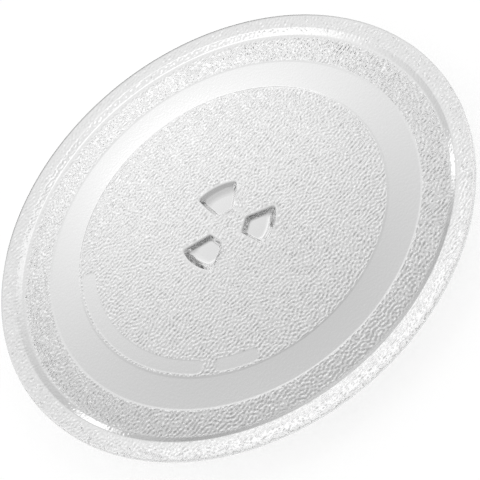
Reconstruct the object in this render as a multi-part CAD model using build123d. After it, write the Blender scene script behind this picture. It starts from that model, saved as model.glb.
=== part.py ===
from build123d import *
from math import cos, radians, sin, tan
import os

# A turntable plate of clear pressed glass, in millimetres, with +Z up.
# It lies on the end faces of its lugs, and the origin is under its centre at their level.

# Dish: the floor, the wall around it and the lip, which thins to its outer edge
PLATE_DIAMETER = 245.0
FLOOR_THICKNESS = 4.6
LIP_WIDTH = 8.8
WALL_RUN = 3.1
RIM_RISE = 2.1
LIP_FALL = 0.3
EDGE_THICKNESS = 2.2
EDGE_BEVEL = 0.6
HEEL_INSET = 1.2

# Roundings of the dish section
FLOOR_CORNER_RADIUS = 2.0
LIP_CORNER_RADIUS = 1.0
EDGE_RADIUS = 1.0
HEEL_RADIUS = 4.0

# Roller track: a smooth flat band that stands proud of the underside
TRACK_INNER_RADIUS = 80.8
TRACK_WIDTH = 14.9
TRACK_PROUD = 0.3
TRACK_EDGE_RUN = 1.0

# Drive lugs: drafted wedges under the centre, with a sloping outer end that rounds over into the end face
LUG_COUNT = 3
FIRST_LUG_ANGLE = 90.0
LUG_HEIGHT = 4.5
LUG_INNER_REACH = 8.6
LUG_INNER_WIDTH = 8.8
LUG_SIDE_ANGLE = 24.5
LUG_OUTER_RADIUS = 25.0
LUG_SIDE_DRAFT = 17.0
LUG_OUTER_SLOPE = 38.0
LUG_OUTER_ROUNDING = 6.0
LUG_ROUNDING_STEPS = 2
LUG_CORNER_RADIUS = 1.9
LUG_BEVEL_DEPTH = 0.5
LUG_BEVEL_RUN = 0.4

# Plain panels: two smooth arcs just inside the track, as (start, end) angles in degrees
PANEL_SPANS = [(171.0, 246.5), (251.5, 267.5)]
PANEL_WIDTH = 6.9
PANEL_GAP = 2.2
PANEL_PROUD = 0.15
PANEL_CORNER_RADIUS = 2.5

# How far the pads and lugs reach into the glass that carries them, so that they fuse with it
ROOT_DEPTH = 1.0

# Levels and radii that follow from these sizes
FLOOR_BOTTOM = LUG_HEIGHT
FLOOR_TOP = FLOOR_BOTTOM + FLOOR_THICKNESS
LIP_TOP = FLOOR_TOP + RIM_RISE
EDGE_TOP = LIP_TOP - LIP_FALL
EDGE_BOTTOM = EDGE_TOP - EDGE_THICKNESS
PLATE_RADIUS = PLATE_DIAMETER / 2
LIP_INNER_RADIUS = PLATE_RADIUS - LIP_WIDTH
FLOOR_RADIUS = LIP_INNER_RADIUS - WALL_RUN
HEEL_CORNER = FLOOR_RADIUS - HEEL_INSET
TRACK_OUTER_RADIUS = TRACK_INNER_RADIUS + TRACK_WIDTH
TRACK_LEVEL = FLOOR_BOTTOM - TRACK_PROUD
PANEL_OUTER_RADIUS = TRACK_INNER_RADIUS - PANEL_GAP
PANEL_INNER_RADIUS = PANEL_OUTER_RADIUS - PANEL_WIDTH


def polar(radius, angle):
    """The point at a radius and an angle in degrees."""
    return (radius * cos(radians(angle)), radius * sin(radians(angle)))


def revolved(section):
    """A solid of revolution about Z from a section drawn as (radius, height)."""
    return revolve(Plane.XZ * make_face(section), Axis.Z)


def dish():
    """Floor, wall, lip and sloping rim, with the section's corners as (radius, height, rounding)."""
    underside_slope = (EDGE_BOTTOM - FLOOR_BOTTOM) / (PLATE_RADIUS - HEEL_CORNER)
    corners = [
        (0, FLOOR_BOTTOM, 0),
        (HEEL_CORNER, FLOOR_BOTTOM, HEEL_RADIUS),
        (PLATE_RADIUS - EDGE_BEVEL, EDGE_BOTTOM - EDGE_BEVEL * underside_slope, 0),
        (PLATE_RADIUS, EDGE_BOTTOM + EDGE_BEVEL, 0),
        (PLATE_RADIUS, EDGE_TOP, EDGE_RADIUS),
        (LIP_INNER_RADIUS, LIP_TOP, LIP_CORNER_RADIUS),
        (FLOOR_RADIUS, FLOOR_TOP, FLOOR_CORNER_RADIUS),
        (0, FLOOR_TOP, 0),
    ]
    points = [(radius, height) for radius, height, rounding in corners]
    roundings = [rounding for radius, height, rounding in corners]
    return revolved(FilletPolyline(*points, radius=roundings, close=True))


def track():
    """The roller track: a flat band with short sloping edges."""
    section = Polyline(
        (TRACK_INNER_RADIUS - TRACK_EDGE_RUN, FLOOR_BOTTOM),
        (TRACK_INNER_RADIUS, TRACK_LEVEL),
        (TRACK_OUTER_RADIUS, TRACK_LEVEL),
        (TRACK_OUTER_RADIUS + TRACK_EDGE_RUN, FLOOR_BOTTOM),
        (TRACK_OUTER_RADIUS, FLOOR_BOTTOM + ROOT_DEPTH),
        (TRACK_INNER_RADIUS, FLOOR_BOTTOM + ROOT_DEPTH),
        close=True,
    )
    return revolved(section)


def lug_outline(inset, outer_radius):
    """A lug's outline along +X with round corners: its sides moved in, its outer end an arc."""
    slope = tan(radians(LUG_SIDE_ANGLE))
    inner = LUG_INNER_REACH + inset
    reach = 2 * LUG_OUTER_RADIUS
    side_shift = inset / cos(radians(LUG_SIDE_ANGLE))
    half_width = LUG_INNER_WIDTH / 2 + (inner - LUG_INNER_REACH) * slope - side_shift
    half_spread = half_width + (reach - inner) * slope
    wedge = Polyline(
        (inner, -half_width),
        (reach, -half_spread),
        (reach, half_spread),
        (inner, half_width),
        close=True,
    )
    outline = make_face(wedge) & Circle(outer_radius)
    return fillet(outline.vertices(), LUG_CORNER_RADIUS)


def lug_stage(drop, outer_radius):
    """The lug's outline some way below the floor, drawn in further where the end bevel has begun."""
    bevel = LUG_BEVEL_RUN * max(0, 1 - (LUG_HEIGHT - drop) / LUG_BEVEL_DEPTH)
    inset = drop * tan(radians(LUG_SIDE_DRAFT)) + bevel
    return Pos(0, 0, FLOOR_BOTTOM - drop) * lug_outline(inset, outer_radius)


def lug():
    """One lug along +X: drafted sides, and a sloping outer end that rounds over into its end face."""
    slope = tan(radians(LUG_OUTER_SLOPE))
    turn = 90 - LUG_OUTER_SLOPE
    round_start = LUG_OUTER_ROUNDING * tan(radians(turn / 2))
    end_radius = LUG_OUTER_RADIUS - LUG_HEIGHT * slope - round_start
    stages = [lug_stage(-ROOT_DEPTH, LUG_OUTER_RADIUS + ROOT_DEPTH * slope)]
    for step in range(LUG_ROUNDING_STEPS + 1):
        angle = radians(turn * (1 - step / LUG_ROUNDING_STEPS))
        drop = LUG_HEIGHT - LUG_OUTER_ROUNDING * (1 - cos(angle))
        stages.append(lug_stage(drop, end_radius + LUG_OUTER_ROUNDING * sin(angle)))
    return loft(stages, ruled=True)


def panel(start, end):
    """A smooth raised panel between two angles, with round corners."""
    middle = (start + end) / 2
    outline = (
        Line(polar(PANEL_INNER_RADIUS, start), polar(PANEL_OUTER_RADIUS, start))
        + ThreePointArc(*[polar(PANEL_OUTER_RADIUS, angle) for angle in (start, middle, end)])
        + Line(polar(PANEL_OUTER_RADIUS, end), polar(PANEL_INNER_RADIUS, end))
        + ThreePointArc(*[polar(PANEL_INNER_RADIUS, angle) for angle in (end, middle, start)])
    )
    face = make_face(outline)
    face = fillet(face.vertices(), PANEL_CORNER_RADIUS)
    return extrude(Pos(0, 0, FLOOR_BOTTOM - PANEL_PROUD) * face, PANEL_PROUD + ROOT_DEPTH)


def glass_plate():
    """The whole plate as the one solid that it is pressed as."""
    plate = dish() + track()
    for number in range(LUG_COUNT):
        angle = FIRST_LUG_ANGLE + number * 360 / LUG_COUNT
        plate += Rot(0, 0, angle) * lug()
    for start, end in PANEL_SPANS:
        plate += panel(start, end)
    return plate


os.makedirs("parts", exist_ok=True)
export_step(glass_plate(), "parts/glass_plate.step")
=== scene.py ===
import bpy
import math
import numpy as np
from mathutils import Matrix, Vector
from mathutils.geometry import delaunay_2d_cdt


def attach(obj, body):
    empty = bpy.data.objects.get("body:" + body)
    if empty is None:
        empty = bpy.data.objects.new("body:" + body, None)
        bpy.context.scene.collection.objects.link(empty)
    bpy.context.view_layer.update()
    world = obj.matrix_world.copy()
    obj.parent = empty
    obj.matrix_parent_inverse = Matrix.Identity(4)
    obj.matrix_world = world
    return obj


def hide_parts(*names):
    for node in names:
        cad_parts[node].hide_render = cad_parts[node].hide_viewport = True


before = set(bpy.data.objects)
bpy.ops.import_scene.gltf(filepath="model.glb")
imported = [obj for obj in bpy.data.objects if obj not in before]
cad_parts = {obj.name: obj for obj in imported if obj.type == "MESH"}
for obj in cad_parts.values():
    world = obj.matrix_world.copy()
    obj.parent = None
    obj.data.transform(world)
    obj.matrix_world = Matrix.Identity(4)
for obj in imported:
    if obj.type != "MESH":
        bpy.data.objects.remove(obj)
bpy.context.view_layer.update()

# A turntable plate of clear pressed glass: polished on top, stippled underneath.
# Lengths are in millimetres until the mesh is made, and angles are in degrees.
MM = 0.001

# Dish section
PLATE_RADIUS = 122.5
FLOOR_THICKNESS = 4.6
LIP_WIDTH = 8.8
WALL_RUN = 3.1
RIM_RISE = 2.1
LIP_FALL = 0.3
EDGE_THICKNESS = 2.2
HEEL_INSET = 1.2
FLOOR_CORNER_RADIUS = 2.0
LIP_CORNER_RADIUS = 1.0
EDGE_RADIUS = 1.0
LOWER_EDGE_RADIUS = 0.9
HEEL_RADIUS = 4.0

# Roller track under the floor
TRACK_INNER_RADIUS = 80.8
TRACK_WIDTH = 14.9
TRACK_PROUD = 0.3
TRACK_EDGE_RUN = 1.0
TRACK_ROUNDING = 1.6

# Drive lugs: drafted sides, a sloping outer end, and rounded feet and edges
LUG_ANGLES = (90.0, 210.0, 330.0)
LUG_HEIGHT = 4.5
LUG_INNER_REACH = 8.6
LUG_INNER_WIDTH = 8.8
LUG_SIDE_ANGLE = 24.5
LUG_OUTER_RADIUS = 25.0
LUG_SIDE_DRAFT = 17.0
LUG_OUTER_SLOPE = 38.0
LUG_CORNER_RADIUS = 1.9
LUG_FOOT_RADIUS = 1.0
LUG_EDGE_RADIUS = 1.0
LUG_OUTER_ROUNDING = 6.0

# Plain panels beside the track
PANEL_SPANS = ((171.0, 246.5), (251.5, 267.5))
PANEL_WIDTH = 6.9
PANEL_GAP = 2.2
PANEL_PROUD = 0.15
PANEL_CORNER_RADIUS = 2.5
PANEL_EDGE_RUN = 1.0

# A plain ring around the middle, where the stipple stops
CENTRE_RING_RADIUS = 9.3
CENTRE_RING_WIDTH = 0.9

# Stipple: a random relief of about one wavelength, highest for the waves that run along its grain angle
STIPPLE_WAVELENGTH = 2.05
STIPPLE_SPREAD = 0.22
STIPPLE_WAVES = 90
STIPPLE_HEIGHT = 0.2
STIPPLE_SHARPNESS = 1.3
STIPPLE_GRAIN = 0.45
STIPPLE_GRAIN_ANGLE = 128.0
STIPPLE_SEED = 11
STIPPLE_FADE = 0.5

# The stipple is lower under the wall and under the lip: its share of the height there,
# and the radii between which it changes
WALL_STIPPLE = 0.08
WALL_STIPPLE_SPAN = (109.5, 111.5)
LIP_STIPPLE = 0.3
LIP_STIPPLE_SPAN = (114.5, 116.5)

# Finishes of the glass, in the order of the mesh's materials
STIPPLED = 0
POLISHED = 1

# Mesh density, with a core in the middle of the underside that is meshed around the lugs
RING_STEP = 0.66
STIPPLE_STEP = 0.73
RIM_STEP = 0.95
SMOOTH_STEP = 2.2
ARC_STEP = 9.0
TOP_STEP = 6.0
TOP_SEGMENTS = 300
TOP_FAN_RADIUS = 1.0
CORE_RADIUS = 30.0
FEWEST_IN_RING = 6
ROUND_STEPS = 6
LUG_SIDE_POINTS = 18
LUG_END_POINTS = 16
LUG_FLAT_POINTS = 8

# Every second ring of vertices is turned by this share of a step
STAGGER = 0.5

# Small distances: for taking slopes, for dropping repeated points and for the plan of the core
SLOPE_PROBE = 0.03
JOIN_GAP = 0.02
PLAN_TOLERANCE = 1e-6

# Delaunay output that keeps every triangle inside the hull of the points
ALL_TRIANGLES = 0

# Glass, with the mould's fine grain underneath and a slight waviness on the polished faces
GLASS_COLOUR = (0.977, 0.977, 0.977, 1)
GLASS_INDEX = 1.5
GLASS_ROUGHNESS = 0.0
GRAIN_SIZE = 1.3
GRAIN_HEIGHT = 0.06
WAVINESS_SIZE = 14.0
WAVINESS_HEIGHT = 0.02
PATTERN_DETAIL = 1.0

# White ground and, below it, the board of painted light and shade that only the glass shows: half the
# side of each, the ground's gap below the lugs, how white it is and how much it glows
SHEET_HALF = 6000.0
GROUND_GAP = 0.2
GROUND_WHITE = 0.5
GROUND_GLOW = 0.76

# Board, painted light and shade that the glass shows: its brightness by distance from its middle, where
# a distance across counts in part, the factors on it from front to back, and where it darkens to the
# left and to the right, as (darkest from, bright from, darkest)
BOARD_DEPTH = 400.0
BOARD_REACH = 1500.0
BOARD_GLOW = (
    (0, 0.8), (70, 0.7), (130, 0.58), (211, 0.58), (371, 0.77), (525, 0.97),
    (600, 1.28), (650, 1.22), (725, 0.86), (1500, 0.84),
)
BOARD_ACROSS = 0.5
BOARD_FRONT = (
    (-1200, 0.95), (-960, 0.08), (-620, 0.03), (-480, 0.7), (-230, 0.7), (-120, 0.4), (-50, 0.5),
    (0, 0.8), (60, 0.63), (110, 0.63), (170, 1.0),
)
BOARD_LEFT = (-420.0, -60.0, 0.5)
BOARD_RIGHT = (400.0, 180.0, 0.6)

# Two painted highlights: bright spots on the board, which the wall shows as white streaks
PAINTED_GLINT_PLACES = ((-290.0, 240.0), (272.0, 188.0))
PAINTED_GLINT_RADIUS = 60.0
PAINTED_GLINT_STRENGTH = 1.8

# Brightness of the surroundings by elevation, behind the plate and behind the camera
FAR_SIDE = ((-90, 0.9), (-8, 1.1), (40, 1.1), (60, 0.6), (90, 0.6))
NEAR_SIDE = ((-90, 0.9), (-8, 0.8), (0, 0.06), (60, 0.06), (90, 0.6))
SIDE_BLEND = 0.2

# Camera: the photograph's view, worked out from the plate's concentric circles
VIEW_TURN = 17.0
CAMERA_AWAY = 478.5
CAMERA_UP = 529.3
CAMERA_TILT = 41.72
CAMERA_ROLL = -39.13
LENS = 112.5
SENSOR = 36.0

# Light goes back and forth in the glass many times before it leaves the rim
LIGHT_BOUNCES = 32

# Levels and radii that follow
FLOOR_BOTTOM = LUG_HEIGHT
FLOOR_TOP = FLOOR_BOTTOM + FLOOR_THICKNESS
LIP_TOP = FLOOR_TOP + RIM_RISE
EDGE_TOP = LIP_TOP - LIP_FALL
EDGE_BOTTOM = EDGE_TOP - EDGE_THICKNESS
LIP_INNER_RADIUS = PLATE_RADIUS - LIP_WIDTH
FLOOR_RADIUS = LIP_INNER_RADIUS - WALL_RUN
HEEL_CORNER = FLOOR_RADIUS - HEEL_INSET
TRACK_OUTER_RADIUS = TRACK_INNER_RADIUS + TRACK_WIDTH
TRACK_MIDDLE = TRACK_INNER_RADIUS + TRACK_WIDTH / 2
TRACK_LEVEL = FLOOR_BOTTOM - TRACK_PROUD
PANEL_OUTER_RADIUS = TRACK_INNER_RADIUS - PANEL_GAP
PANEL_INNER_RADIUS = PANEL_OUTER_RADIUS - PANEL_WIDTH
PANEL_MIDDLE = PANEL_OUTER_RADIUS - PANEL_WIDTH / 2


def unit(x, y):
    """A direction of length one."""
    length = math.hypot(x, y)
    return x / length, y / length


def arc_points(centre, radius, start, end, count):
    """Points on an arc between two angles in radians, its ends included."""
    angles = np.linspace(start, end, count)
    return [(centre[0] + radius * math.cos(a), centre[1] + radius * math.sin(a)) for a in angles]


def line_points(start, end, count):
    """Points between two points, their ends left out."""
    shares = np.linspace(0, 1, count + 2)[1:-1]
    return [(start[0] + (end[0] - start[0]) * t, start[1] + (end[1] - start[1]) * t) for t in shares]


def rounded_path(corners):
    """A path of points through corners given as (radius, height, rounding)."""
    path = [corners[0][:2]]
    for before, corner, after in zip(corners, corners[1:], corners[2:]):
        x, y, rounding = corner
        back = unit(before[0] - x, before[1] - y)
        ahead = unit(after[0] - x, after[1] - y)
        half = math.acos(max(-1.0, min(1.0, back[0] * ahead[0] + back[1] * ahead[1]))) / 2
        middle = unit(back[0] + ahead[0], back[1] + ahead[1])
        depth = rounding / math.sin(half)
        centre = (x + middle[0] * depth, y + middle[1] * depth)
        reach = rounding / math.tan(half)
        first = (x + back[0] * reach, y + back[1] * reach)
        last = (x + ahead[0] * reach, y + ahead[1] * reach)
        start = math.atan2(first[1] - centre[1], first[0] - centre[0])
        turn = math.atan2(last[1] - centre[1], last[0] - centre[0]) - start
        turn = (turn + math.pi) % (2 * math.pi) - math.pi
        count = max(2, math.ceil(abs(math.degrees(turn)) / ARC_STEP) + 1)
        path += arc_points(centre, rounding, start, start + turn, count)
    path.append(corners[-1][:2])
    return path


def edge_start():
    """Where the underside ends and the outer edge starts."""
    radius = PLATE_RADIUS - LOWER_EDGE_RADIUS
    share = (radius - HEEL_CORNER) / (PLATE_RADIUS - HEEL_CORNER)
    return (radius, FLOOR_BOTTOM + (EDGE_BOTTOM - FLOOR_BOTTOM) * share, 0)


def under_path():
    """The underside's section, from the core's rim out to the start of the outer edge."""
    return rounded_path([
        (CORE_RADIUS, FLOOR_BOTTOM, 0),
        (TRACK_INNER_RADIUS - TRACK_EDGE_RUN, FLOOR_BOTTOM, TRACK_ROUNDING),
        (TRACK_INNER_RADIUS, TRACK_LEVEL, TRACK_ROUNDING),
        (TRACK_OUTER_RADIUS, TRACK_LEVEL, TRACK_ROUNDING),
        (TRACK_OUTER_RADIUS + TRACK_EDGE_RUN, FLOOR_BOTTOM, TRACK_ROUNDING),
        (HEEL_CORNER, FLOOR_BOTTOM, HEEL_RADIUS),
        edge_start(),
    ])


def top_path():
    """The rest of the section: the outer edge, the lip, the wall and the polished floor."""
    return rounded_path([
        edge_start(),
        (PLATE_RADIUS, EDGE_BOTTOM, LOWER_EDGE_RADIUS),
        (PLATE_RADIUS, EDGE_TOP, EDGE_RADIUS),
        (LIP_INNER_RADIUS, LIP_TOP, LIP_CORNER_RADIUS),
        (FLOOR_RADIUS, FLOOR_TOP, FLOOR_CORNER_RADIUS),
        (TOP_FAN_RADIUS, FLOOR_TOP, 0),
    ])


def divided(path, step, stops=()):
    """The path with its long runs divided into steps, and with points at some radii."""
    points = [path[0]]
    for (x0, y0), (x1, y1) in zip(path, path[1:]):
        shares = sorted((stop - x0) / (x1 - x0) for stop in stops if x0 < stop < x1)
        for low, high in zip([0.0] + shares, shares + [1.0]):
            length = math.hypot(x1 - x0, y1 - y0) * (high - low)
            count = max(1, round(length / step))
            for k in range(1, count + 1):
                t = low + (high - low) * k / count
                points.append((x0 + (x1 - x0) * t, y0 + (y1 - y0) * t))
    kept = [points[0]]
    for point in points[1:]:
        if math.dist(point, kept[-1]) > JOIN_GAP:
            kept.append(point)
    return np.array(kept)


def path_normals(path):
    """Normals of the section, whose outside is on the right of the path."""
    along = np.diff(path, axis=0)
    along /= np.linalg.norm(along, axis=1)[:, None]
    mean = np.vstack([along[:1], along[1:] + along[:-1], along[-1:]])
    mean /= np.linalg.norm(mean, axis=1)[:, None]
    return np.stack([mean[:, 1], -mean[:, 0]], axis=1)


def stipple_waves():
    """Wave vectors, phases and heights of the stipple."""
    draw = np.random.default_rng(STIPPLE_SEED)
    angle = draw.uniform(0, 2 * math.pi, STIPPLE_WAVES)
    height = 1 + STIPPLE_GRAIN * np.cos(2 * (angle - math.radians(STIPPLE_GRAIN_ANGLE)))
    length = STIPPLE_WAVELENGTH * (1 + STIPPLE_SPREAD * draw.uniform(-1, 1, STIPPLE_WAVES))
    phase = draw.uniform(0, 2 * math.pi, STIPPLE_WAVES)
    number = 2 * math.pi / length
    height *= math.sqrt(2 / STIPPLE_WAVES)
    return number * np.cos(angle), number * np.sin(angle), phase, height


WAVES = stipple_waves()


def smooth_step(low, high, value):
    """0 below low, 1 above high and a soft rise between them."""
    t = np.clip((value - low) / (high - low), 0, 1)
    return t * t * (3 - 2 * t)


def panel_depth(radius, angle):
    """How far inside the nearest panel a point lies: negative outside."""
    best = np.full(radius.shape, -PLATE_RADIUS)
    for start, end in PANEL_SPANS:
        middle = math.radians((start + end) / 2)
        turned_by = (angle - middle + math.pi) % (2 * math.pi) - math.pi
        half_length = math.radians((end - start) / 2) * PANEL_MIDDLE
        along = np.abs(turned_by) * PANEL_MIDDLE - half_length + PANEL_CORNER_RADIUS
        across = np.abs(radius - PANEL_MIDDLE) - PANEL_WIDTH / 2 + PANEL_CORNER_RADIUS
        corner = np.hypot(np.maximum(along, 0), np.maximum(across, 0))
        outside = corner + np.minimum(np.maximum(along, across), 0)
        best = np.maximum(best, PANEL_CORNER_RADIUS - outside)
    return best


def relief(radius, angle):
    """How far the underside stands out from its plain section."""
    x = radius * np.cos(angle)
    y = radius * np.sin(angle)
    height = np.zeros_like(radius)
    for kx, ky, phase, wave_height in zip(*WAVES):
        height += wave_height * np.sin(kx * x + ky * y + phase)
    height = STIPPLE_HEIGHT * np.tanh(STIPPLE_SHARPNESS * height)
    rim_share = WALL_STIPPLE + (LIP_STIPPLE - WALL_STIPPLE) * smooth_step(*LIP_STIPPLE_SPAN, radius)
    height *= 1 - (1 - rim_share) * smooth_step(*WALL_STIPPLE_SPAN, radius)
    in_track = TRACK_WIDTH / 2 + TRACK_EDGE_RUN - np.abs(radius - TRACK_MIDDLE)
    in_panel = panel_depth(radius, angle)
    in_ring = CENTRE_RING_WIDTH / 2 - np.abs(radius - CENTRE_RING_RADIUS)
    for inside in (in_track, in_panel, in_ring):
        height *= 1 - smooth_step(-STIPPLE_FADE, 0, inside)
    return height + PANEL_PROUD * smooth_step(-PANEL_EDGE_RUN / 2, PANEL_EDGE_RUN / 2, in_panel)


class Builder:
    """Collects the vertices, normals and triangles of one closed mesh, with each triangle's finish."""

    def __init__(self):
        self.points = []
        self.normals = []
        self.triangles = []
        self.finishes = []
        self.finish = STIPPLED

    def add(self, points, normals):
        """Adds vertices with their normals and returns their numbers."""
        first = len(self.points)
        self.points += [tuple(p) for p in points]
        self.normals += [tuple(n) for n in normals]
        return list(range(first, len(self.points)))

    def face(self, a, b, c):
        """Adds a triangle with the finish that is being laid."""
        self.triangles.append((a, b, c))
        self.finishes.append(self.finish)

    def ring(self, radius, height, normal, count, turn, along=None):
        """A ring of vertices; along is its place on the section where the relief is added."""
        angle = (np.arange(count) + turn) * 2 * math.pi / count
        out = np.full(count, float(radius))
        level = np.full(count, float(height))
        slope_along = np.zeros(count)
        slope_round = np.zeros(count)
        if along is not None:
            place = np.full(count, float(along))
            rise = relief(place, angle)
            slope_along = (relief(place + SLOPE_PROBE, angle) - rise) / SLOPE_PROBE
            slope_round = (relief(place, angle + SLOPE_PROBE / along) - rise) / SLOPE_PROBE
            out = out + rise * normal[0]
            level = level + rise * normal[1]
        tilt_out = normal[0] + slope_along * normal[1]
        tilt_up = normal[1] - slope_along * normal[0]
        cos, sin = np.cos(angle), np.sin(angle)
        points = np.stack([out * cos, out * sin, level], 1)
        normal_x = tilt_out * cos + slope_round * sin
        normal_y = tilt_out * sin - slope_round * cos
        normals = np.stack([normal_x, normal_y, tilt_up], 1)
        normals /= np.linalg.norm(normals, axis=1)[:, None]
        return self.add(points, normals)

    def stitch(self, lower, upper, lower_turn, upper_turn):
        """Triangles between two rings, the first one nearer the path's start."""
        lower_count, upper_count = len(lower), len(upper)
        i = j = 0
        while i < lower_count or j < upper_count:
            lower_next = (i + 1 + lower_turn) / lower_count
            upper_next = (j + 1 + upper_turn) / upper_count
            lower_now, upper_now = lower[i % lower_count], upper[j % upper_count]
            if j == upper_count or (i < lower_count and lower_next <= upper_next):
                self.face(lower_now, lower[(i + 1) % lower_count], upper_now)
                i += 1
            else:
                self.face(lower_now, upper[(j + 1) % upper_count], upper_now)
                j += 1

    def fan(self, loop, point, normal):
        """Triangles from a loop to one point in its middle."""
        middle = self.add([point], [normal])[0]
        for k in range(len(loop)):
            self.face(loop[k], loop[(k + 1) % len(loop)], middle)


def lug_profile(slope, end_radius):
    """A lug wall's section as (inset, drop, lean of its normal from straight down), foot first."""
    turn = math.radians(90 - slope)
    foot = LUG_FOOT_RADIUS * math.tan(turn / 2)
    crest = LUG_HEIGHT * math.tan(math.radians(slope)) + end_radius * math.tan(turn / 2)
    profile = []
    for tilt in np.linspace(0, turn, ROUND_STEPS):
        inset = LUG_FOOT_RADIUS * math.sin(tilt) - foot
        profile.append((inset, LUG_FOOT_RADIUS * (1 - math.cos(tilt)), tilt))
    for tilt in np.linspace(turn, 0, ROUND_STEPS):
        inset = crest - end_radius * math.sin(tilt)
        profile.append((inset, LUG_HEIGHT - end_radius * (1 - math.cos(tilt)), tilt))
    return profile


def lug_outline(inset, outer_radius):
    """A lug's outline along +X as (x, y, share): share is 1 on the outer end and 0 on the sides."""
    side = math.radians(LUG_SIDE_ANGLE)
    slope = math.tan(side)
    rounding = LUG_CORNER_RADIUS
    start = LUG_INNER_WIDTH / 2 - LUG_INNER_REACH * slope - (inset + rounding) / math.cos(side)
    inner_x = LUG_INNER_REACH + inset + rounding
    inner = (inner_x, slope * inner_x + start)
    reach = outer_radius - rounding
    outer_x = (-slope * start + math.sqrt(reach**2 * (1 + slope**2) - start**2)) / (1 + slope**2)
    outer = (outer_x, slope * outer_x + start)
    tip = math.atan2(outer[1], outer[0])
    inner_corner = arc_points(inner, rounding, math.pi, math.pi / 2 + side, ROUND_STEPS)
    outer_corner = arc_points(outer, rounding, math.pi / 2 + side, tip, ROUND_STEPS)
    end_arc = arc_points((0, 0), outer_radius, tip, 0, LUG_END_POINTS)[1:-1]
    half = [(x, y, 0.0) for x, y in inner_corner]
    half += [(x, y, 0.0) for x, y in line_points(inner_corner[-1], outer_corner[0], LUG_SIDE_POINTS)]
    half += [(x, y, k / (ROUND_STEPS - 1)) for k, (x, y) in enumerate(outer_corner)]
    half += [(x, y, 1.0) for x, y in end_arc]
    mirrored = [(x, -y, share) for x, y, share in reversed(half)]
    flat_start = (inner_corner[0][0], -inner_corner[0][1])
    flat = [(x, y, 0.0) for x, y in line_points(flat_start, inner_corner[0], LUG_FLAT_POINTS)]
    return np.array(half + [(outer_radius, 0.0, 1.0)] + mirrored + flat)


def lug_loops():
    """The lug's loops of points and normals along +X, from the floor to the end face."""
    loops = []
    sides = lug_profile(LUG_SIDE_DRAFT, LUG_EDGE_RADIUS)
    ends = lug_profile(LUG_OUTER_SLOPE, LUG_OUTER_ROUNDING)
    for (inset, side_drop, side_tilt), (end_inset, end_drop, end_tilt) in zip(sides, ends):
        outline = lug_outline(inset, LUG_OUTER_RADIUS - end_inset)
        plan, share = outline[:, :2], outline[:, 2]
        along = np.roll(plan, -1, axis=0) - np.roll(plan, 1, axis=0)
        along /= np.linalg.norm(along, axis=1)[:, None]
        out = np.stack([-along[:, 1], along[:, 0]], 1)
        drop = side_drop + (end_drop - side_drop) * share
        tilt = side_tilt + (end_tilt - side_tilt) * share
        points = np.column_stack([plan, FLOOR_BOTTOM - drop])
        normals = np.column_stack([out * np.sin(tilt)[:, None], -np.cos(tilt)])
        loops.append((points, normals))
    return loops


def turned(vectors, angle):
    """Vectors turned about Z."""
    cos, sin = math.cos(math.radians(angle)), math.sin(math.radians(angle))
    x, y, z = vectors.T
    return np.stack([x * cos - y * sin, x * sin + y * cos, z], 1)


def add_lug(builder, angle):
    """One lug's wall and end face; returns the numbers of its foot's vertices."""
    rings = []
    builder.finish = POLISHED
    for points, normals in lug_loops():
        rings.append(builder.add(turned(points, angle), turned(normals, angle)))
    for outer, inner in zip(rings, rings[1:]):
        for k in range(len(outer)):
            after = (k + 1) % len(outer)
            builder.face(outer[k], outer[after], inner[after])
            builder.face(outer[k], inner[after], inner[k])
    end_face = np.array([builder.points[k] for k in rings[-1]])
    builder.fan(rings[-1], end_face.mean(axis=0), (0, 0, -1))
    builder.finish = STIPPLED
    return rings[0]


def inside_outline(points, outline):
    """Which points lie inside a closed outline."""
    x, y = points[:, 0], points[:, 1]
    found = np.zeros(len(points), bool)
    for (x0, y0), (x1, y1) in zip(outline, outline[1:] + outline[:1]):
        if y0 != y1:
            found ^= ((y0 > y) != (y1 > y)) & (x < (x1 - x0) * (y - y0) / (y1 - y0) + x0)
    return found


def near_outline(points, outline, reach):
    """Which points lie within a reach of an outline's points."""
    marks = np.array(outline)
    gaps = np.linalg.norm(points[:, None, :] - marks[None, :, :], axis=2)
    return gaps.min(axis=1) < reach


def core_lattice():
    """Staggered rings of points that fill the core."""
    rows = []
    for row, radius in enumerate(np.arange(CORE_RADIUS - RING_STEP, RING_STEP / 2, -RING_STEP)):
        count = max(FEWEST_IN_RING, round(2 * math.pi * radius / STIPPLE_STEP))
        angle = (np.arange(count) + STAGGER * (row % 2)) * 2 * math.pi / count
        rows.append(np.stack([radius * np.cos(angle), radius * np.sin(angle)], 1))
    return np.vstack(rows)


def relief_at(x, y):
    """The relief at a place in the plan."""
    return relief(np.hypot(x, y), np.arctan2(y, x))


def add_core_points(builder, flat):
    """The core's stippled vertices at places in the plan; returns their numbers."""
    x, y = flat.T
    rise = relief_at(x, y)
    slope_x = (relief_at(x + SLOPE_PROBE, y) - rise) / SLOPE_PROBE
    slope_y = (relief_at(x, y + SLOPE_PROBE) - rise) / SLOPE_PROBE
    normals = np.stack([-slope_x, -slope_y, -np.ones(len(flat))], 1)
    normals /= np.linalg.norm(normals, axis=1)[:, None]
    return builder.add(np.column_stack([flat, FLOOR_BOTTOM - rise]), normals)


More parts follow.
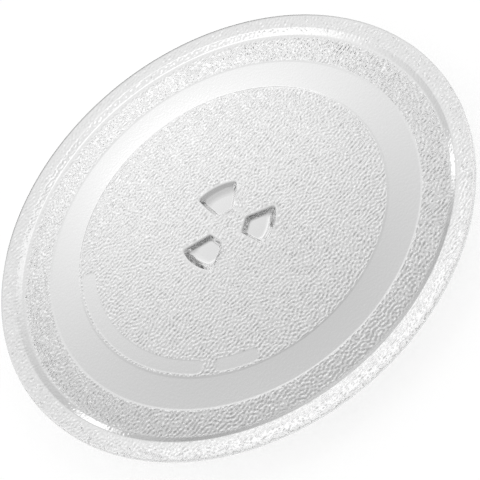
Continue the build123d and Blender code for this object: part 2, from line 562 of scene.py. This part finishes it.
def add_core(builder, rim_count):
    """The middle of the underside with the three lugs; returns its outer ring."""
    rim = builder.ring(CORE_RADIUS, FLOOR_BOTTOM, (0, -1), rim_count, 0, along=CORE_RADIUS)
    ids = []
    plan = []
    edges = []
    feet = []
    flat = core_lattice()
    for loop in [rim] + [add_lug(builder, angle) for angle in LUG_ANGLES]:
        first = len(plan)
        outline = [builder.points[k][:2] for k in loop]
        edges += [(first + k, first + (k + 1) % len(loop)) for k in range(len(loop))]
        plan += outline
        ids += loop
        if loop is not rim:
            feet.append(outline)
            clear = ~inside_outline(flat, outline) & ~near_outline(flat, outline, STIPPLE_STEP)
            flat = flat[clear]
    ids += add_core_points(builder, flat)
    plan += [tuple(p) for p in flat]
    result = delaunay_2d_cdt([Vector(p) for p in plan], edges, [], ALL_TRIANGLES, PLAN_TOLERANCE)
    triangles, sources = result[2:4]
    faces = np.array([[sources[corner][0] for corner in triangle] for triangle in triangles])
    middles = np.array(plan)[faces].mean(axis=1)
    under_lug = np.zeros(len(faces), bool)
    for outline in feet:
        under_lug |= inside_outline(middles, outline)
    for a, b, c in faces[~under_lug]:
        builder.face(ids[a], ids[c], ids[b])
    return rim


def has_stipple(radius):
    """Whether a ring of the underside has relief, and so needs close vertices."""
    return abs(radius - TRACK_MIDDLE) > TRACK_WIDTH / 2


def step_around(radius):
    """How far apart the vertices of one ring of the underside stand."""
    if radius > WALL_STIPPLE_SPAN[1]:
        return RIM_STEP
    return STIPPLE_STEP if has_stipple(radius) else SMOOTH_STEP


def add_underside(builder):
    """The underside; returns its last ring and how that ring is turned."""
    stops = []
    for edge in (PANEL_INNER_RADIUS, PANEL_OUTER_RADIUS):
        stops += [edge - PANEL_EDGE_RUN / 2, edge + PANEL_EDGE_RUN / 2]
    section = under_path()
    path = divided(section, RING_STEP, stops)
    # The smooth track needs only the section's own points
    needed = [has_stipple(p[0]) or min(math.dist(p, q) for q in section) < JOIN_GAP for p in path]
    path = path[needed]
    normals = path_normals(path)
    steps = np.linalg.norm(np.diff(path, axis=0), axis=1)
    lengths = CORE_RADIUS + np.concatenate([[0], np.cumsum(steps)])
    last = add_core(builder, round(2 * math.pi * CORE_RADIUS / STIPPLE_STEP))
    last_turn = 0.0
    for number in range(1, len(path)):
        radius, height = path[number]
        count = round(2 * math.pi * radius / step_around(radius))
        turn = STAGGER * (number % 2)
        ring = builder.ring(radius, height, normals[number], count, turn, along=lengths[number])
        builder.stitch(last, ring, last_turn, turn)
        last, last_turn = ring, turn
    return last, last_turn


def add_top(builder, last, last_turn):
    """The outer edge and the polished top, from the underside's last ring."""
    builder.finish = POLISHED
    path = divided(top_path(), TOP_STEP)
    normals = path_normals(path)
    for number in range(1, len(path)):
        radius, height = path[number]
        ring = builder.ring(radius, height, normals[number], TOP_SEGMENTS, 0.0)
        builder.stitch(last, ring, last_turn, 0.0)
        last, last_turn = ring, 0.0
    builder.fan(last, (0, 0, FLOOR_TOP), (0, 0, 1))


def build_plate():
    """The whole plate as one closed mesh with a stippled and a polished material."""
    builder = Builder()
    last, last_turn = add_underside(builder)
    add_top(builder, last, last_turn)
    mesh = bpy.data.meshes.new("turntable_plate")
    mesh.from_pydata((np.array(builder.points) * MM).tolist(), [], builder.triangles)
    mesh.update()
    mesh.polygons.foreach_set("use_smooth", [True] * len(mesh.polygons))
    mesh.materials.append(stippled_glass())
    mesh.materials.append(polished_glass())
    mesh.polygons.foreach_set("material_index", builder.finishes)
    mesh.normals_split_custom_set_from_vertices(builder.normals)
    plate = bpy.data.objects.new("turntable_plate", mesh)
    bpy.context.scene.collection.objects.link(plate)
    return plate


def new_material(name):
    """A new node material with its nodes and links."""
    material = bpy.data.materials.new(name)
    material.use_nodes = True
    return material, material.node_tree.nodes, material.node_tree.links


def glass(name, pattern_size, pattern_height):
    """Clear glass with a fine random unevenness of a size and a height in millimetres."""
    material, nodes, links = new_material(name)
    shader = nodes["Principled BSDF"]
    shader.inputs["Base Color"].default_value = GLASS_COLOUR
    shader.inputs["Transmission Weight"].default_value = 1.0
    shader.inputs["Roughness"].default_value = GLASS_ROUGHNESS
    shader.inputs["IOR"].default_value = GLASS_INDEX
    coords = nodes.new("ShaderNodeTexCoord")
    noise = nodes.new("ShaderNodeTexNoise")
    noise.inputs["Scale"].default_value = 1 / (pattern_size * MM)
    noise.inputs["Detail"].default_value = PATTERN_DETAIL
    bump = nodes.new("ShaderNodeBump")
    bump.inputs["Strength"].default_value = 1.0
    bump.inputs["Distance"].default_value = pattern_height * MM
    links.new(coords.outputs["Object"], noise.inputs["Vector"])
    links.new(noise.outputs["Fac"], bump.inputs["Height"])
    links.new(bump.outputs["Normal"], shader.inputs["Normal"])
    return material


def stippled_glass():
    """The underside: the mould's fine grain over the stipple."""
    return glass("stippled_glass", GRAIN_SIZE, GRAIN_HEIGHT)


def polished_glass():
    """The top, the edge and the lugs: polished, with the slight waviness of pressed glass."""
    return glass("polished_glass", WAVINESS_SIZE, WAVINESS_HEIGHT)


def ground_material():
    """White with the plate's shadow, and clear to rays that come through the glass."""
    material, nodes, links = new_material("white_floor")
    nodes.clear()
    output = nodes.new("ShaderNodeOutputMaterial")
    diffuse = nodes.new("ShaderNodeBsdfDiffuse")
    diffuse.inputs["Color"].default_value = (GROUND_WHITE, GROUND_WHITE, GROUND_WHITE, 1)
    glow = nodes.new("ShaderNodeEmission")
    glow.inputs["Strength"].default_value = GROUND_GLOW
    white = nodes.new("ShaderNodeAddShader")
    clear = nodes.new("ShaderNodeBsdfTransparent")
    rays = nodes.new("ShaderNodeLightPath")
    seen = nodes.new("ShaderNodeMixShader")
    links.new(diffuse.outputs[0], white.inputs[0])
    links.new(glow.outputs[0], white.inputs[1])
    links.new(rays.outputs["Is Transmission Ray"], seen.inputs["Fac"])
    links.new(white.outputs[0], seen.inputs[1])
    links.new(clear.outputs[0], seen.inputs[2])
    links.new(seen.outputs[0], output.inputs["Surface"])
    return material


def make_sheet(name, level, material):
    """A level square sheet for the studio, with its own Y away from the camera."""
    half = SHEET_HALF * MM
    corners = [(-half, -half, 0), (half, -half, 0), (half, half, 0), (-half, half, 0)]
    mesh = bpy.data.meshes.new(name)
    mesh.from_pydata(corners, [], [(0, 1, 2, 3)])
    mesh.materials.append(material)
    sheet = bpy.data.objects.new(name, mesh)
    sheet.location.z = level * MM
    sheet.rotation_euler.z = math.radians(VIEW_TURN)
    bpy.context.scene.collection.objects.link(sheet)


def ramp_node(nodes, stops):
    """A grey colour ramp through (place, value) stops."""
    ramp = nodes.new("ShaderNodeValToRGB")
    elements = ramp.color_ramp.elements
    elements.remove(elements[-1])
    for number, (place, value) in enumerate(stops):
        element = elements[0] if number == 0 else elements.new(place)
        element.position = place
        element.color = (value, value, value, 1)
    return ramp


def share_between(nodes, links, value, start, end, lowest=0.0):
    """A factor that rises from its lowest where a value is at its start to 1 at its end."""
    share = nodes.new("ShaderNodeMapRange")
    share.inputs["From Min"].default_value = start
    share.inputs["From Max"].default_value = end
    share.inputs["To Min"].default_value = lowest
    links.new(value, share.inputs["Value"])
    return share.outputs["Result"]


def share_along(nodes, links, vector, axis, reach):
    """How far a vector points along an axis, from 0 at one reach against it to 1 at one along it."""
    product = nodes.new("ShaderNodeVectorMath")
    product.operation = "DOT_PRODUCT"
    product.inputs[1].default_value = axis
    links.new(vector, product.inputs[0])
    return share_between(nodes, links, product.outputs["Value"], -reach, reach)


def front_share(nodes, links, value):
    """The factor on the board's painted light and shade by its place from front to back."""
    first, last = BOARD_FRONT[0][0], BOARD_FRONT[-1][0]
    stops = [((place - first) / (last - first), factor) for place, factor in BOARD_FRONT]
    ramp = ramp_node(nodes, stops)
    links.new(share_between(nodes, links, value, first * MM, last * MM), ramp.inputs["Fac"])
    return ramp.outputs["Color"]


def darkened(nodes, links, strength, factor):
    """A strength times a factor."""
    product = nodes.new("ShaderNodeMath")
    product.operation = "MULTIPLY"
    links.new(strength, product.inputs[0])
    links.new(factor, product.inputs[1])
    return product.outputs["Value"]


def with_painted_glint(nodes, links, strength, place, spot):
    """A strength that rises to a painted highlight, a bright spot on the board."""
    distance = nodes.new("ShaderNodeVectorMath")
    distance.operation = "DISTANCE"
    distance.inputs[1].default_value = (spot[0] * MM, spot[1] * MM, 0)
    links.new(place, distance.inputs[0])
    nearness = share_between(nodes, links, distance.outputs["Value"], PAINTED_GLINT_RADIUS * MM, 0.0)
    painted_glint = nodes.new("ShaderNodeMath")
    painted_glint.operation = "MULTIPLY_ADD"
    painted_glint.inputs[1].default_value = PAINTED_GLINT_STRENGTH
    links.new(nearness, painted_glint.inputs[0])
    links.new(strength, painted_glint.inputs[2])
    return painted_glint.outputs["Value"]


def painted_light_board_material():
    """A glowing board of painted light and shade, darker in its middle, in front and to both sides,
    with two bright spots as painted highlights.
    """
    material, nodes, links = new_material("painted_light_board")
    nodes.clear()
    output = nodes.new("ShaderNodeOutputMaterial")
    glow = nodes.new("ShaderNodeEmission")
    place = nodes.new("ShaderNodeTexCoord").outputs["Object"]
    stretched = nodes.new("ShaderNodeMapping")
    stretched.inputs["Scale"].default_value = (BOARD_ACROSS, 1, 1)
    length = nodes.new("ShaderNodeVectorMath")
    length.operation = "LENGTH"
    ramp = ramp_node(nodes, [(distance / BOARD_REACH, value) for distance, value in BOARD_GLOW])
    links.new(place, stretched.inputs["Vector"])
    links.new(stretched.outputs["Vector"], length.inputs[0])
    share = share_between(nodes, links, length.outputs["Value"], 0.0, BOARD_REACH * MM)
    links.new(share, ramp.inputs["Fac"])
    links.new(ramp.outputs["Color"], glow.inputs["Color"])
    axes = nodes.new("ShaderNodeSeparateXYZ")
    links.new(place, axes.inputs["Vector"])
    strength = front_share(nodes, links, axes.outputs["Y"])
    # Painted shade: the board darkens towards its left and its right
    for darkest_from, bright_from, darkest in (BOARD_LEFT, BOARD_RIGHT):
        factor = share_between(
            nodes, links, axes.outputs["X"], darkest_from * MM, bright_from * MM, darkest)
        strength = darkened(nodes, links, strength, factor)
    # Painted highlights: two bright spots that the wall shows as white streaks
    for spot in PAINTED_GLINT_PLACES:
        strength = with_painted_glint(nodes, links, strength, place, spot)
    links.new(strength, glow.inputs["Strength"])
    links.new(glow.outputs[0], output.inputs["Surface"])
    return material


def make_camera():
    """The photograph's camera: in front of the near rim and above it, tilted down and rolled."""
    data = bpy.data.cameras.new("camera")
    data.sensor_width = SENSOR
    data.lens = LENS
    camera = bpy.data.objects.new("camera", data)
    tilt = math.radians(CAMERA_TILT)
    roll = math.radians(CAMERA_ROLL)
    back = Vector((0, -math.sin(tilt), math.cos(tilt)))
    level = Vector((1, 0, 0))
    rise = back.cross(level)
    right = level * math.cos(roll) + rise * math.sin(roll)
    up = back.cross(right)
    turn = Matrix.Rotation(math.radians(VIEW_TURN), 4, "Z")
    axes = Matrix((right, up, back)).transposed().to_4x4()
    axes.translation = Vector((0, -CAMERA_AWAY, CAMERA_UP)) * MM
    camera.matrix_world = turn @ axes
    bpy.context.scene.collection.objects.link(camera)
    bpy.context.scene.camera = camera


def elevation_place(elevation):
    """The place of an elevation on a ramp that follows its sine."""
    return (math.sin(math.radians(elevation)) + 1) / 2


def mixed(nodes, links, factor, first):
    """A colour mix of a linked first colour and a second one that starts as white."""
    mix = nodes.new("ShaderNodeMix")
    mix.data_type = "RGBA"
    mix.inputs["B"].default_value = (1, 1, 1, 1)
    links.new(factor, mix.inputs["Factor"])
    links.new(first, mix.inputs["A"])
    return mix


def make_world():
    """White to the camera; to other rays a bright sweep behind the plate and a dark room in front."""
    world = bpy.data.worlds.new("studio")
    bpy.context.scene.world = world
    world.use_nodes = True
    nodes, links = world.node_tree.nodes, world.node_tree.links
    nodes.clear()
    output = nodes.new("ShaderNodeOutputWorld")
    background = nodes.new("ShaderNodeBackground")
    rays = nodes.new("ShaderNodeLightPath")
    direction = nodes.new("ShaderNodeTexCoord").outputs["Generated"]
    bright = math.radians(VIEW_TURN + 90)
    bright_axis = (math.cos(bright), math.sin(bright), 0)
    height = share_along(nodes, links, direction, (0, 0, 1), 1.0)
    far_share = share_along(nodes, links, direction, bright_axis, SIDE_BLEND)
    ramps = []
    for stops in (NEAR_SIDE, FAR_SIDE):
        ramp = ramp_node(nodes, [(elevation_place(elevation), value) for elevation, value in stops])
        links.new(height, ramp.inputs["Fac"])
        ramps.append(ramp.outputs["Color"])
    room = mixed(nodes, links, far_share, ramps[0])
    links.new(ramps[1], room.inputs["B"])
    seen = mixed(nodes, links, rays.outputs["Is Camera Ray"], room.outputs["Result"])
    links.new(seen.outputs["Result"], background.inputs["Color"])
    links.new(background.outputs[0], output.inputs["Surface"])


# The plate in its studio
plate = build_plate()
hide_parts("glass_plate")
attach(plate, "root")
make_sheet("floor", -GROUND_GAP, ground_material())
# The board glows with painted light and shade that only the glass shows
make_sheet("board", -BOARD_DEPTH, painted_light_board_material())
make_world()
make_camera()

scene = bpy.context.scene
scene.view_settings.view_transform = "Standard"
scene.cycles.max_bounces = LIGHT_BOUNCES
scene.cycles.transmission_bounces = LIGHT_BOUNCES
scene.cycles.glossy_bounces = LIGHT_BOUNCES
